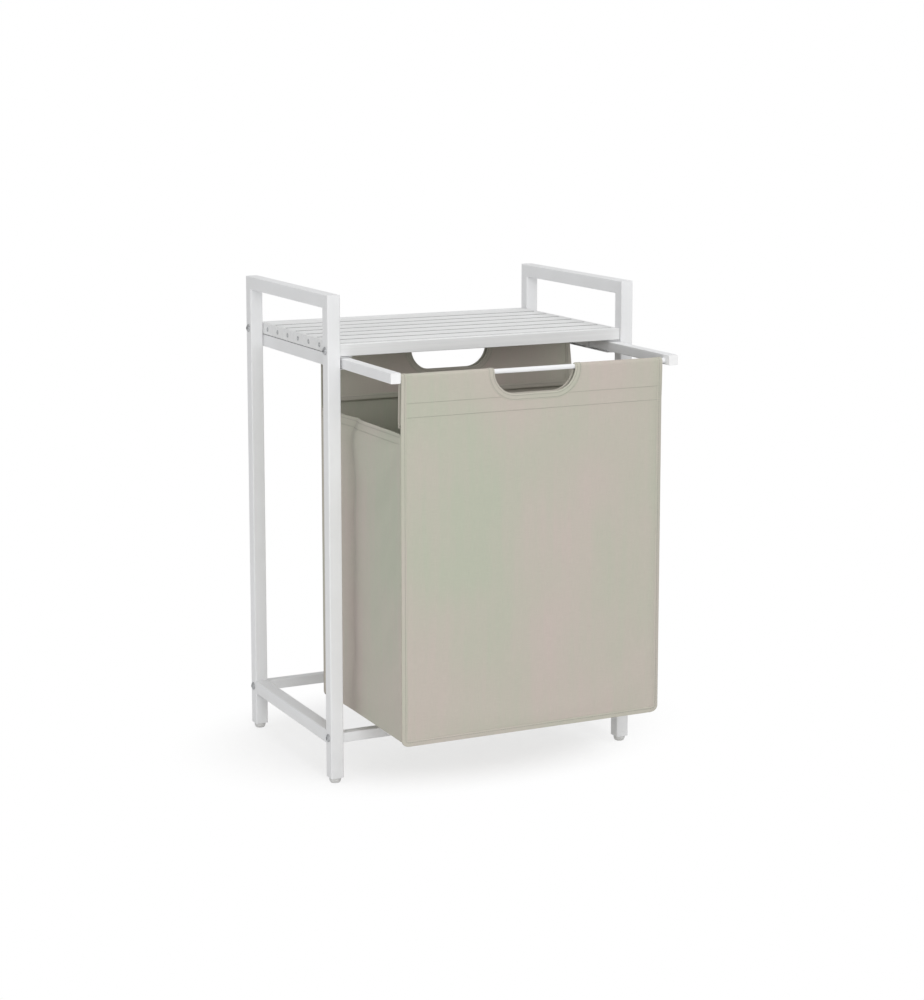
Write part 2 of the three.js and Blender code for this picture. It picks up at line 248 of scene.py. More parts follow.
paint = {"light": (0.83, 0.835, 0.845), "dull": (0.79, 0.795, 0.80), "peelScale": 750, "peelDepth": 0.00004}
board = {
    "light": (0.84, 0.845, 0.845),
    "dull": (0.76, 0.765, 0.765),
    "paintedGapShade": (0.34, 0.34, 0.34),  # painted shade on the slats' long sides, standing for the shadow in the gaps between them
    "grainDepth": 0.00012,
}
zinc = {"light": (0.60, 0.61, 0.62), "dull": (0.42, 0.43, 0.44)}
cloth = {
    "warm": (0.548, 0.474, 0.432),
    "cool": (0.472, 0.492, 0.396),
    "tapeWarm": (0.530, 0.487, 0.430),
    "tapeCool": (0.495, 0.495, 0.410),
    "slubAndHollowShade": 0.90,  # how much darker thin threads are, with painted shade in the hollows between threads
    "thread": 0.00055,  # from one thread to the next
    "weaveDepth": 0.00006,
    "slubs": (2400, 60),  # how fine the thick and thin threads are, across and along
    "streaks": (85, 5, 1),
    "clouds": (4.2, 3, 1),
}
# The thread's colour is set darker than the cloth as painted shade, standing for the shadow along the stitch
# grooves.
threadWithGrooveShade = {"light": (0.33, 0.33, 0.29), "dull": (0.20, 0.20, 0.17)}


def powderCoat():
    finish = Finish("powder_coat")
    place = finish.place()
    cloud = finish.noise(place, 14, 3)
    finish.color(finish.blend(finish.spread(cloud, 0, 1), paint["dull"], paint["light"]))
    finish.rough(finish.spread(finish.noise(place, 60, 3), 0.34, 0.46))
    finish.bump(finish.noise(place, paint["peelScale"], 2), paint["peelDepth"])
    finish.bump(finish.noise(place, 90, 2), paint["peelDepth"] * 2, 0.5)
    finish.set(specular=0.5)
    return finish.material


def lacqueredBoard():  # white lacquer over boards whose grain still shows through a little, with painted shade on the slats' long sides
    finish = Finish("lacquered_board")
    number = finish.add("ShaderNodeAttribute", {}, attribute_name="boardNumber").outputs["Fac"]
    shift = finish.add("ShaderNodeCombineXYZ", {"X": number, "Y": number, "Z": number}).outputs[0]
    grain = finish.noise(finish.place((5, 160, 160), shift), 1, 4, 0.6)
    pores = finish.noise(finish.place((26, 900, 900), shift), 1, 2)
    cloud = finish.noise(finish.place((1, 1, 1), shift), 9, 2)
    face = finish.blend(finish.spread(grain, 0, 1), board["dull"], board["light"])
    # Painted shade: the slats' long sides are coloured dark grey, standing for the shadow in the gaps
    # between slats.
    side = finish.add("ShaderNodeAttribute", {}, attribute_name="narrowSide").outputs["Fac"]
    finish.color(finish.blend(side, face, board["paintedGapShade"]))
    finish.rough(finish.spread(cloud, 0.36, 0.5))
    finish.bump(grain, board["grainDepth"], 0.6)
    finish.bump(pores, board["grainDepth"] / 3, 0.5)
    return finish.material


def zincSteel():
    finish = Finish("zinc_steel")
    place = finish.place()
    blotch = finish.noise(place, 420, 3)
    finish.color(finish.blend(finish.spread(blotch, 0, 1), zinc["dull"], zinc["light"]))
    finish.rough(finish.spread(finish.noise(place, 900, 2), 0.26, 0.42))
    finish.bump(finish.noise(place, 1800, 2), 0.00002)
    finish.set(metallic=1.0)
    return finish.material


def mouldedPlastic(name, light, dull, roughness):
    finish = Finish(name)
    place = finish.place()
    cloud = finish.noise(place, 40, 3)
    finish.color(finish.blend(finish.spread(cloud, 0, 1), dull, light))
    finish.rough(finish.spread(finish.noise(place, 220, 2), roughness - 0.05, roughness + 0.06))
    finish.bump(finish.noise(place, 1600, 2), 0.00003)
    return finish.material


def bagCloth(name, warm, cool, roughness=0.78):  # plain weave: threads go over and under by turns
    finish = Finish(name)
    flat = finish.add("ShaderNodeUVMap", {}, uv_map="flat").outputs[0]
    threads = finish.add("ShaderNodeVectorMath", {0: flat, "Scale": 1 / cloth["thread"]}, operation="SCALE")
    split = finish.add("ShaderNodeSeparateXYZ", {"Vector": threads.outputs[0]})
    waves = [finish.math("SINE", finish.math("MULTIPLY", split.outputs[i], math.pi)) for i in (0, 1)]
    warp, weft = (finish.math("ABSOLUTE", wave) for wave in waves)
    over = finish.add("ShaderNodeTexChecker", {"Vector": threads.outputs[0], "Scale": 1.0}).outputs["Fac"]
    height = finish.add("ShaderNodeMix", {0: over, 2: warp, 3: weft}).outputs[0]
    fine, long = cloth["slubs"]
    slubs = finish.math("ADD", finish.noise(finish.mapped(flat, (fine, long, 1)), 1, 3),
                        finish.noise(finish.mapped(flat, (long, fine, 1)), 1, 3))
    faint = finish.math("MULTIPLY", finish.noise(finish.mapped(flat, cloth["streaks"]), 1, 2), 0.24)
    clouds = finish.noise(finish.mapped(flat, cloth["clouds"], 0.6), 1, 2)
    drift = finish.spread(finish.math("ADD", clouds, faint), 0, 1, 0.46, 0.78)
    base = finish.blend(drift, warm, cool)
    dark = finish.blend(drift, *([c * cloth["slubAndHollowShade"] for c in tone] for tone in (warm, cool)))
    # Thin threads are darker in tone, and the weave's hollows get painted shade.
    slubAndHollowShade = finish.math("MULTIPLY", finish.spread(slubs, 0, 1, 0.75, 1.25),
                        finish.spread(height, 0.55, 1, 0, 1))
    finish.color(finish.blend(slubAndHollowShade, dark, base))
    finish.rough(finish.spread(slubs, roughness - 0.06, roughness + 0.08, 0.7, 1.3))
    finish.bump(height, cloth["weaveDepth"], 0.7)
    finish.bump(slubs, cloth["weaveDepth"] / 2, 0.5)
    finish.set(specular=0.3, sheen=0.12, sheenRoughness=0.6)
    return finish.material


def sewingThread():
    finish = Finish("sewing_thread")
    place = finish.place()
    # Thread colour darkened as painted shade of the stitch grooves.
    finish.color(finish.blend(finish.spread(finish.noise(place, 900, 2), 0, 1), threadWithGrooveShade["dull"], threadWithGrooveShade["light"]))
    finish.rough(finish.spread(finish.noise(place, 2500, 2), 0.6, 0.8))
    return finish.material


paintFinish = powderCoat()
boardFinish = lacqueredBoard()
zincFinish = zincSteel()
capFinish = mouldedPlastic("white_plastic", (0.86, 0.86, 0.86), (0.80, 0.80, 0.80), 0.42)
footFinish = mouldedPlastic("foot_plastic", (0.70, 0.70, 0.69), (0.62, 0.62, 0.61), 0.5)
insertFinish = mouldedPlastic("insert_plastic", (0.80, 0.80, 0.79), (0.72, 0.72, 0.71), 0.5)
sheetFinish = mouldedPlastic("base_sheet_plastic", (0.33, 0.33, 0.29), (0.27, 0.27, 0.24), 0.62)
clothFinish = bagCloth("bag_cloth", cloth["warm"], cloth["cool"])
tapeFinish = bagCloth("binding_tape", cloth["tapeWarm"], cloth["tapeCool"], 0.74)
threadFinish = sewingThread()
print("finishes ready")

# Helpers for shapes


def meshPiece(name, vertices, faces, material):
    mesh = bpy.data.meshes.new(name)
    mesh.from_pydata([tuple(v) for v in vertices], [], faces)
    mesh.materials.append(material)
    piece = bpy.data.objects.new(name, mesh)
    scene.collection.objects.link(piece)
    return piece


def finished(piece):  # the mesh that a piece and its modifiers make
    graph = bpy.context.evaluated_depsgraph_get()
    return bpy.data.meshes.new_from_object(piece.evaluated_get(graph), preserve_all_data_layers=True,
                                           depsgraph=graph)


def plain(piece):  # turns a piece and its modifiers into one plain mesh
    result = finished(piece)
    piece.modifiers.clear()
    piece.data = result
    result.name = piece.name
    return piece


def outward(piece, weld=0.0):
    shape = bmesh.new()
    shape.from_mesh(piece.data)
    if weld:
        bmesh.ops.remove_doubles(shape, verts=shape.verts, dist=weld)
    bmesh.ops.recalc_face_normals(shape, faces=shape.faces)
    shape.to_mesh(piece.data)
    shape.free()
    return piece


def ease(piece, width=0.0003, angle=35, segments=2):  # softens sharp edges and evens the shading
    if width:
        bevel = piece.modifiers.new("ease", "BEVEL")
        bevel.width = width
        bevel.segments = segments
        bevel.limit_method = "ANGLE"
        bevel.angle_limit = math.radians(angle)
        plain(piece)
    piece.data.shade_smooth()
    piece.data.set_sharp_from_angle(angle=math.radians(50))
    weighted = piece.modifiers.new("even", "WEIGHTED_NORMAL")
    weighted.keep_sharp = True
    return plain(piece)


def fit(piece, body, slotName, *nodes):  # the piece takes its body and the nodes' place; slotName is not used
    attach(piece, body)
    if nodes:
        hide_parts(*nodes)
    return piece


def roundedSquare(width, height, corner, steps=5):
    points = []
    for quarter, (sx, sy) in enumerate([(1, 1), (-1, 1), (-1, -1), (1, -1)]):
        for step in range(steps + 1):
            angle = (quarter + step / steps) * math.pi / 2
            points.append((sx * (width / 2 - corner) + corner * math.cos(angle),
                           sy * (height / 2 - corner) + corner * math.sin(angle)))
    return points


# A hollow square tube from start to end. Each end is cut square, or along a plane with the given normal.
def squareTube(name, start, end, across, size, corner, wall, material, startCut=None, endCut=None):
    start, end, across = Vector(start), Vector(end), Vector(across)
    along = (end - start).normalized()
    other = along.cross(across)
    outer = roundedSquare(size, size, corner)
    inner = roundedSquare(size - 2 * wall, size - 2 * wall, max(corner - wall, wall / 2))
    vertices = []
    for ring in (outer, inner):
        for origin, normal in ((start, startCut or along), (end, endCut or along)):
            normal = Vector(normal)
            for p, q in ring:
                offset = across * p + other * q
                slide = -offset.dot(normal) / along.dot(normal)
                vertices.append(origin + offset + along * slide)
    n = len(outer)
    faces = []
    for i in range(n):
        j = (i + 1) % n
        faces.append((i, j, n + j, n + i))
        faces.append((2 * n + j, 2 * n + i, 3 * n + i, 3 * n + j))
        faces.append((j, i, 2 * n + i, 2 * n + j))
        faces.append((n + i, n + j, 3 * n + j, 3 * n + i))
    return outward(meshPiece(name, vertices, faces, material))


# A turned piece about Z. Each ring is (radius or a function of the angle, height); both ends are closed.
def turnedPiece(name, rings, material, steps=32):
    vertices = []
    for radius, height in rings:
        for step in range(steps):
            angle = 2 * math.pi * step / steps
            r = radius(angle) if callable(radius) else radius
            vertices.append((r * math.cos(angle), r * math.sin(angle), height))
    faces = [tuple(range(steps))]
    for first in range(0, (len(rings) - 1) * steps, steps):
        for i in range(steps):
            j = (i + 1) % steps
            faces.append((first + i, first + j, first + steps + j, first + steps + i))
    faces.append(tuple(range((len(rings) - 1) * steps, len(rings) * steps)))
    return outward(meshPiece(name, vertices, faces, material))


def easedCopy(name, node, material, width=0.0003):  # a CAD node's own shape with softened edges
    piece = meshPiece(name, [], [], material)
    shape = bmesh.new()
    shape.from_mesh(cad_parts[node].data)
    bmesh.ops.remove_doubles(shape, verts=shape.verts, dist=1e-6)
    bmesh.ops.dissolve_limit(shape, angle_limit=math.radians(1), verts=shape.verts, edges=shape.edges)
    for face in shape.faces:
        face.material_index = 0
    shape.to_mesh(piece.data)
    shape.free()
    return ease(piece, width)


# Trees of geometry nodes


class Tree:  # a geometry nodes tree being put together
    def __init__(self, name):
        self.group = bpy.data.node_groups.new(name, "GeometryNodeTree")
        self.group.interface.new_socket("Geometry", in_out="OUTPUT", socket_type="NodeSocketGeometry")
        self.group.interface.new_socket("Geometry", in_out="INPUT", socket_type="NodeSocketGeometry")
        self.start = self.group.nodes.new("NodeGroupInput")
        self.end = self.group.nodes.new("NodeGroupOutput")
        self.names = {}

    def input(self, name, kind):
        socket = self.group.interface.new_socket(name, in_out="INPUT", socket_type="NodeSocket" + kind)
        self.names[name] = socket.identifier
        return self.start.outputs[name]

    def add(self, kind, sources, **settings):
        return addNode(self.group, kind, sources, **settings)

    def close(self, instances):
        real = self.add("GeometryNodeRealizeInstances", {"Geometry": instances})
        painted = self.add("GeometryNodeSetMaterial", {"Geometry": real.outputs[0],
                                                       "Material": self.input("Material", "Material")})
        self.group.links.new(painted.outputs[0], self.end.inputs[0])
        return self

    def attach(self, piece, values):
        modifier = piece.modifiers.new(self.group.name, "NODES")
        modifier.node_group = self.group
        for name, value in values.items():
            modifier[self.names[name]] = value
        return piece


def fastenerTree():  # one copy of the fastener at each point, its axis turned to face outwards
    tree = Tree("fasteners")
    shape = tree.add("GeometryNodeObjectInfo", {"Object": tree.input("Fastener", "Object")})
    facing = tree.add("GeometryNodeInputNamedAttribute", {"Name": "facing"}, data_type="FLOAT_VECTOR")
    spin = tree.add("FunctionNodeRandomValue", {"Min": 0.0, "Max": 6.28, "Seed": tree.input("Seed", "Int")})
    turn = tree.add("FunctionNodeAxisAngleToRotation", {"Axis": (0, 0, 1), "Angle": spin.outputs[1]})
    aim = tree.add("FunctionNodeAlignRotationToVector", {"Vector": facing.outputs[0]}, axis="Z")
    both = tree.add("FunctionNodeRotateRotation", {"Rotation": aim.outputs[0], "Rotate By": turn.outputs[0]},
                    rotation_space="LOCAL")
    copies = tree.add("GeometryNodeInstanceOnPoints", {
        "Points": tree.start.outputs["Geometry"],
        "Instance": shape.outputs["Geometry"],
        "Rotation": both.outputs[0],
    })
    return tree.close(copies.outputs[0])


def slatTree():  # a row of boards, each with a number that shifts its grain
    tree = Tree("slat_row")
    shape = tree.add("GeometryNodeObjectInfo", {"Object": tree.input("Slat", "Object")})
    row = tree.add("GeometryNodeMeshLine", {
        "Count": tree.input("Count", "Int"),
        "Start Location": tree.input("First place", "Vector"),
        "Offset": tree.input("Step", "Vector"),
    })
    copies = tree.add("GeometryNodeInstanceOnPoints", {
        "Points": row.outputs[0],
        "Instance": shape.outputs["Geometry"],
    })
    number = tree.add("GeometryNodeInputIndex", {})
    numbered = tree.add("GeometryNodeStoreNamedAttribute", {
        "Geometry": copies.outputs[0],
        "Name": "boardNumber",
        "Value": number.outputs[0],
    }, data_type="FLOAT", domain="INSTANCE")
    return tree.close(numbered.outputs[0])


def stitchTree():  # a stitch at every step along each line of sewing
    tree = Tree("stitches")
    shape = tree.add("GeometryNodeObjectInfo", {"Object": tree.input("Stitch", "Object")})
    steps = tree.add("GeometryNodeCurveToPoints", {
        "Curve": tree.start.outputs["Geometry"],
        "Length": tree.input("Pitch", "Float"),
    }, mode="LENGTH")
    copies = tree.add("GeometryNodeInstanceOnPoints", {
        "Points": steps.outputs["Points"],
        "Instance": shape.outputs["Geometry"],
        "Rotation": steps.outputs["Rotation"],
    })
    return tree.close(copies.outputs[0])


fasteners = fastenerTree()
slatRow = slatTree()
stitching = stitchTree()


def placeFasteners(name, shape, places, facings, seed):
    piece = meshPiece(name, places, [], zincFinish)
    facing = piece.data.attributes.new("facing", "FLOAT_VECTOR", "POINT")
    facing.data.foreach_set("vector", [c for f in facings for c in f])
    plain(fasteners.attach(piece, {"Fastener": shape, "Seed": seed, "Material": zincFinish}))
    bpy.data.objects.remove(shape)
    return piece


# Side frames

postTubing = {"corner": 0.0018, "wall": 0.0012, "weld": 0.0002, "edge": 0.00015}
barTubing = {"corner": 0.0014, "wall": 0.0012, "edge": 0.0003}


def paintedTube(name, node, body, ends, across, size, tubing, edge, **cuts):
    tube = squareTube(name, *ends, across, size, tubing["corner"], tubing["wall"], paintFinish, **cuts)
    fit(ease(tube, edge), body, "frame_paint", node)


def buildSideFrames():
    for side in sides:
        handle = f"{side}_handle_rail"
        handleLow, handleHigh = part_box(handle)
        size = handleHigh.z - handleLow.z
        x = middle(handle).x
        top = handleHigh.z - size / 2
        postY = {end: middle(f"{side}_{end}_post").y for end in ends}
        for end, y in postY.items():
            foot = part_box(f"{side}_{end}_post")[0].z
            slope = Vector((0, ends[end], 1)).normalized()
            paintedTube(f"{side}_{end}_post_tube", f"{side}_{end}_post", "frame",
                        ((x, y, foot), (x, y, top)), (1, 0, 0), size, postTubing, postTubing["weld"],
                        endCut=(0, -slope.y, slope.z))
        paintedTube(f"{side}_handle_tube", handle, "frame",
                    ((x, postY["front"], top), (x, postY["rear"], top)), (1, 0, 0), size, postTubing,
                    postTubing["weld"], startCut=(0, 1, 1), endCut=(0, 1, -1))
        z = middle(f"{side}_lower_rail").z
        paintedTube(f"{side}_lower_tube", f"{side}_lower_rail", "frame",
                    ((x, postY["front"] + size / 2, z), (x, postY["rear"] - size / 2, z)),
                    (1, 0, 0), size, postTubing, postTubing["edge"])


buildSideFrames()
print("side frames ready")

# Lower bars, slide rails and hanging bars

weldBead = {"reach": 0.0016, "height": 0.0011}


def straightBar(name, node, body, axis, across):  # a square tube as long as its node's box
    low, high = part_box(node)
    start, end = middle(node), middle(node)
    start[axis], end[axis] = low[axis], high[axis]
    paintedTube(name, node, body, (start, end), across, high.z - low.z, barTubing, barTubing["edge"])


def buildBars():
    for end in ends:
        straightBar(f"lower_{end}_bar_tube", f"lower_{end}_bar", "frame", 0, (0, 1, 0))
    for side in sides:
        straightBar(f"{side}_slide_tube", f"{side}_slide_rail", "bag_carriage", 1, (1, 0, 0))


def buildHangingBars():  # round bars with a small bead of weld at each end
    for end in ends:
        low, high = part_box(f"{end}_hanging_bar")
        spot = (low + high) / 2
        radius = (high.z - low.z) / 2
        half = (high.x - low.x) / 2 + 0.0003  # the bar meets the rail
        bead = [(radius + weldBead["height"] * (1 - math.sin(t * math.pi / 8)),
                 half - weldBead["reach"] * (1 - math.cos(t * math.pi / 8))) for t in range(5)]
        rings = [(r, -h) for r, h in bead] + [(r, h) for r, h in reversed(bead)]
        bar = turnedPiece(f"{end}_hanging_rod", rings, paintFinish)
        bar.data.transform(Matrix.Translation(spot) @ Matrix.Rotation(math.pi / 2, 4, "Y"))
        ease(bar, 0)
        fit(bar, "bag_carriage", "frame_paint", f"{end}_hanging_bar")


buildBars()
buildHangingBars()
print("bars ready")

# Feet, plugs and caps

footShape = {
    "glide": [(0.0058, 0), (0.0066, 0.0003), (0.0074, 0.0012), (0.0084, 0.0034), (0.0087, 0.0048),
              (0.0087, 0.0076)],  # radius and height
    "plugTop": 0.0222,
    "plugSize": 0.0170,
}


def buildFeet():
    def plugOutline(angle):
        half = footShape["plugSize"] / 2
        reach = half / max(abs(math.cos(angle)), abs(math.sin(angle)))
        return min(reach, half * 1.32)

    for side in sides:
        for end in ends:
            spot = middle(f"{side}_{end}_foot")
            rings = [*footShape["glide"], (plugOutline, 0.0077), (plugOutline, footShape["plugTop"])]
            foot = turnedPiece(f"{side}_{end}_glide", rings, footFinish, 48)
            foot.data.transform(Matrix.Translation((spot.x, spot.y, 0)))
            ease(foot, 0)
            fit(foot, "frame", "foot_plastic", f"{side}_{end}_foot")


def buildPlugs():
    for side in sides:
        for end in ends:
            insert = easedCopy(f"{side}_{end}_bar_plug", f"{side}_{end}_bar_insert", insertFinish, 0.0003)
            fit(insert, "frame", "white_plastic", f"{side}_{end}_bar_insert")
            cap = easedCopy(f"{side}_{end}_rail_cap", f"{side}_slide_{end}_cap", capFinish, 0.0004)
            fit(cap, "bag_carriage", "white_plastic", f"{side}_slide_{end}_cap")


buildFeet()
buildPlugs()
print("feet and caps ready")

# Shelf

shelf = {"slatEdge": 0.0004, "boardEdge": 0.0005}


def markGapShadeSides(piece, steepest=0.6):  # the slats' long sides, which take the painted shade of the gaps
    sides = piece.data.attributes.new("narrowSide", "FLOAT", "FACE")
    long = [float(abs(f.normal.z) < steepest and abs(f.normal.x) < 0.5) for f in piece.data.polygons]
    sides.data.foreach_set("value", long)


def buildShelf():
    for end in ends:
        rail = easedCopy(f"shelf_{end}_board", f"shelf_{end}_rail", boardFinish, shelf["boardEdge"])
        fit(rail, "frame", "shelf_board", f"shelf_{end}_rail")
    for side in sides:
        batten = easedCopy(f"shelf_{side}_side_board", f"shelf_{side}_batten", boardFinish,
                           shelf["boardEdge"])
        fit(batten, "frame", "shelf_board", f"shelf_{side}_batten")
    slats = sorted(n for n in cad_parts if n.startswith("shelf_slat_"))
    low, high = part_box(slats[0])
    size = high - low
    step = middle(slats[1]) - middle(slats[0])
    corners = [(x, y, z) for x in (-1, 1) for y in (-1, 1) for z in (-1, 1)]
    faces = [(0, 1, 3, 2), (4, 6, 7, 5), (0, 4, 5, 1), (2, 3, 7, 6), (0, 2, 6, 4), (1, 5, 7, 3)]
    places = [[c * s / 2 for c, s in zip(corner, size)] for corner in corners]
    slat = meshPiece("slat", places, faces, boardFinish)
    ease(outward(slat), shelf["slatEdge"])
    markGapShadeSides(slat)
    row = meshPiece("shelf_slats", [], [], boardFinish)
    plain(slatRow.attach(row, {
        "Slat": slat,
        "Count": len(slats),
        "First place": tuple((low + high) / 2),
        "Step": tuple(step),
        "Material": boardFinish,
    }))
    bpy.data.objects.remove(slat)
    fit(row, "frame", "shelf_board", *slats)


buildShelf()
print("shelf ready")

# Guides

for side in sides:
    channel = easedCopy(f"{side}_guide_channel", f"{side}_guide", paintFinish, 0.0003)
    fit(channel, "frame", "frame_paint", f"{side}_guide")
print("guides ready")

# Bolts and screws

boltShape = {
    "headRadius": 0.006,
    "headHeight": 0.003,
    "shank": 0.003,
    "socket": 0.0019,
    "socketDepth": 0.0018,
}
screwShape = {"head": 0.0036, "shank": 0.0014, "depth": 0.0009, "length": 0.012}


def hexagon(across):
    def radius(angle):
        return across / math.cos((angle % (math.pi / 3)) - math.pi / 6)
    return radius


def cross(reach, width):  # outline of a cross recess
    def radius(angle):
        near = abs(((angle + math.pi / 4) % (math.pi / 2)) - math.pi / 4)
        return min(reach, width / max(math.sin(near), 1e-3))
    return radius


def buttonBolt(reach):
    r, h = boltShape["headRadius"], boltShape["headHeight"]
    dome = [(r * math.cos(t), h * math.sin(t)) for t in (0.12, 0.4, 0.7, 1.0, 1.15)]
    rings = [(0.0022, -reach), (boltShape["shank"], 0.0008 - reach), (boltShape["shank"], 0), (r, 0), *dome]
    rings += [(hexagon(boltShape["socket"]), z) for z in (h * 0.96, h - boltShape["socketDepth"])]
    return turnedPiece("bolt", rings, zincFinish, 24)


def crossScrew():  # a flat-headed wood screw, its head level with the board's face
    head = screwShape["head"]
    shank, length = screwShape["shank"], screwShape["length"]
    rings = [(0.0003, -length), (shank, -length + 0.003), (shank, -0.0019),
             (head, -0.0001), (head * 0.96, 0.0003), (cross(0.0019, 0.0005), 0.0003),
             (cross(0.0014, 0.0004), -screwShape["depth"])]
    return turnedPiece("screw", rings, zincFinish, 24)


def onOuterFace(node, sign, sunk=0.0):  # the middle of a piece's face away from the table's middle
    low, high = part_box(node)
    spot = (low + high) / 2
    spot.x = (high.x if sign > 0 else low.x) - sign * sunk
    return spot


def buildFasteners():
    nodes = [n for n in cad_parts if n.endswith("_bolt")]
    places, facings = [], []
    for node in nodes:
        sign = math.copysign(1, middle(node).x)
        places.append(onOuterFace(node, sign, boltShape["headHeight"]))
        facings.append((sign, 0, 0))
    low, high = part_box(nodes[0])
    bolt = ease(buttonBolt(high.x - low.x - boltShape["headHeight"]), 0)
    bolts = placeFasteners("frame_bolts", bolt, places, facings, 3)
    fit(bolts, "frame", "bolt_steel", *nodes)

    slats = sorted(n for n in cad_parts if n.startswith("shelf_slat_"))
    places, facings = [], []
    for side, sign in sides.items():
        for slat in slats:
            spot = onOuterFace(f"shelf_{side}_batten", sign)
            spot.y = middle(slat).y
            places.append(spot)
            facings.append((sign, 0, 0))
    screws = placeFasteners("slat_screws", ease(crossScrew(), 0), places, facings, 5)
    fit(screws, "frame", "bolt_steel")

    nodes = [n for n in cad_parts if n.endswith("_guide_screw")]
    places = [(middle(n).x, middle(n).y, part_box(n)[0].z) for n in nodes]
    screws = placeFasteners("guide_screws", ease(crossScrew(), 0), places, [(0, 0, -1)] * len(nodes), 7)
    fit(screws, "frame", "bolt_steel", *nodes)


buildFasteners()
print("bolts and screws ready")

# The bag: how its cloth hangs

frontLow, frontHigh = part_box("bag_front_panel")
sideLow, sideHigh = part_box("bag_left_panel")
frontBar = middle("front_hanging_bar")
barRadius = (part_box("front_hanging_bar")[1].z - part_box("front_hanging_bar")[0].z) / 2

bag = {
    "width": frontHigh.x - frontLow.x,
    "bottom": frontLow.z,
    "floor": sideLow.z,
    "sideTop": sideHigh.z,
    "thickness": 0.0012,
    "mesh": 0.0095,  # size of the cloth's simulated squares
    "creaseDepth": 0.004,  # how far the sides lean inwards towards their fold
    "curl": {"left": 0.0012, "right": 0.006},  # how far the front's and rear's edges curl inwards
    "curlWidth": 0.013,
    "creaseBack": 0.034,  # how far the fold lies behind the bag's middle
    "pinch": 0.0045,  # the fold itself, sharper than the rest of the side
    "pinchReach": (0.020, 0.035),  # in front of the fold and behind it
    "bulge": 0.0025,  # how far the front and rear stand out in the middle
    "slack": 0.0018,  # share by which the cloth was cut larger than the bag hangs
    "frames": 24,  # steps of the cloth's settling
    "most": 0.007,  # furthest that a point may move
    "hemStitches": (0.583, 0.563),  # heights of the two rows across the front and rear
    "flapBottom": 0.548,
    "flapGap": 0.0085,  # between a flap and its panel
}
clothNature = {  # how heavy and how stiff the bag's cloth is
    "quality": 7,
    "mass": 0.12,
    "tension_stiffness": 25,
    "compression_stiffness": 25,
    "shear_stiffness": 12,
    "bending_stiffness": 1.5,
    "air_damping": 2.0,
}
bag["sleeve"] = barRadius + 0.0003 + bag["thickness"] / 2
bag["frontY"] = frontBar.y - bag["sleeve"]
bag["rearY"] = middle("rear_hanging_bar").y + bag["sleeve"]
bag["barZ"] = frontBar.z
bag["middleY"] = (bag["frontY"] + bag["rearY"]) / 2
bag["creaseY"] = bag["middleY"] + bag["creaseBack"]


def latticeLines():
    half = bag["width"] / 2 - bag["thickness"] / 2
    columns = round(2 * half / bag["mesh"])
    deep = round((bag["rearY"] - bag["frontY"]) / bag["mesh"])
    tall = round((bag["sideTop"] - bag["floor"]) / bag["mesh"])
    above = round((bag["barZ"] - bag["sideTop"]) / bag["mesh"])
    x = np.linspace(-half, half, columns + 1)
    y = np.linspace(bag["frontY"], bag["rearY"], deep + 1)
    z = np.concatenate([np.linspace(bag["floor"], bag["sideTop"], tall + 1),
                        np.linspace(bag["sideTop"], bag["barZ"], above + 1)[1:]])
    return x, y, z, tall


def foldedIn(y, z):  # how far the sides are folded inwards, less so at the stiff floor
    toFront = (y - bag["frontY"]) / (bag["creaseY"] - bag["frontY"])
    toRear = (bag["rearY"] - y) / (bag["rearY"] - bag["creaseY"])
    rise = min(1.0, (z - bag["floor"]) / 0.12)
    return bag["creaseDepth"] * (0.3 + 0.7 * rise) * max(0.0, min(toFront, toRear))


def bulged(x, z):  # how far the front or rear stands out from flat
    across = math.cos(x / bag["width"] * math.pi)
    upwards = math.sin(math.pi * min(1.0, (z - bag["floor"]) / 0.5))
    return bag["bulge"] * max(0.0, across * upwards)


def curled(x, z):  # how far the front or rear curls inwards near its edges, except along its bar
    low = np.clip((0.612 - z) / 0.05, 0, 1)
    edge = np.clip(1 - (bag["width"] / 2 - np.abs(x)) / bag["curlWidth"], 0, 1) ** 1.3
    return low * edge * np.where(x < 0, bag["curl"]["left"], bag["curl"]["right"])


def hangCloth():
    x, y, z, tall = latticeLines()
    last = (len(x) - 1, len(y) - 1, len(z) - 1)
    index, places = {}, []

    def point(i, j, k):
        if (i, j, k) not in index:
            index[i, j, k] = len(places)
            inward = foldedIn(y[j], z[k]) * (1 if i == 0 else -1 if i == last[0] else 0)
            outward = bulged(x[i], z[k]) * (-1 if j == 0 else 1 if j == last[1] else 0)
            places.append((x[i] + inward, y[j] + outward, z[k]))
        return index[i, j, k]

    faces = []
    for i in range(last[0]):
        for k in range(last[2]):
            faces.append((point(i, 0, k), point(i + 1, 0, k), point(i + 1, 0, k + 1), point(i, 0, k + 1)))
            faces.append((point(i + 1, last[1], k), point(i, last[1], k), point(i, last[1], k + 1),
                          point(i + 1, last[1], k + 1)))
        for j in range(last[1]):
            faces.append((point(i, j, 0), point(i, j + 1, 0), point(i + 1, j + 1, 0), point(i + 1, j, 0)))
    for j in range(last[1]):
        for k in range(tall):
            faces.append((point(0, j + 1, k), point(0, j, k), point(0, j, k + 1), point(0, j + 1, k + 1)))
            faces.append((point(last[0], j, k), point(last[0], j + 1, k), point(last[0], j + 1, k + 1),
                          point(last[0], j, k + 1)))
    start = np.array(places)
    moved = simulateCloth(places, faces, last, index)
    step = moved - start
    reach = np.linalg.norm(step, axis=1, keepdims=True)
    moved = start + step * (bag["most"] * np.tanh(reach / bag["most"]) / np.maximum(reach, 1e-9))

    def grid(rows, columns, key):
        return np.array([[moved[index[key(r, c)]] for c in range(columns + 1)] for r in range(rows + 1)])

    return {
        "front": grid(last[2], last[0], lambda r, c: (c, 0, r)),
        "rear": grid(last[2], last[0], lambda r, c: (c, last[1], r)),
        "left": grid(tall, last[1], lambda r, c: (0, c, r)),
        "right": grid(tall, last[1], lambda r, c: (last[0], c, r)),
        "floor": grid(last[1], last[0], lambda r, c: (c, r, 0)),
    }


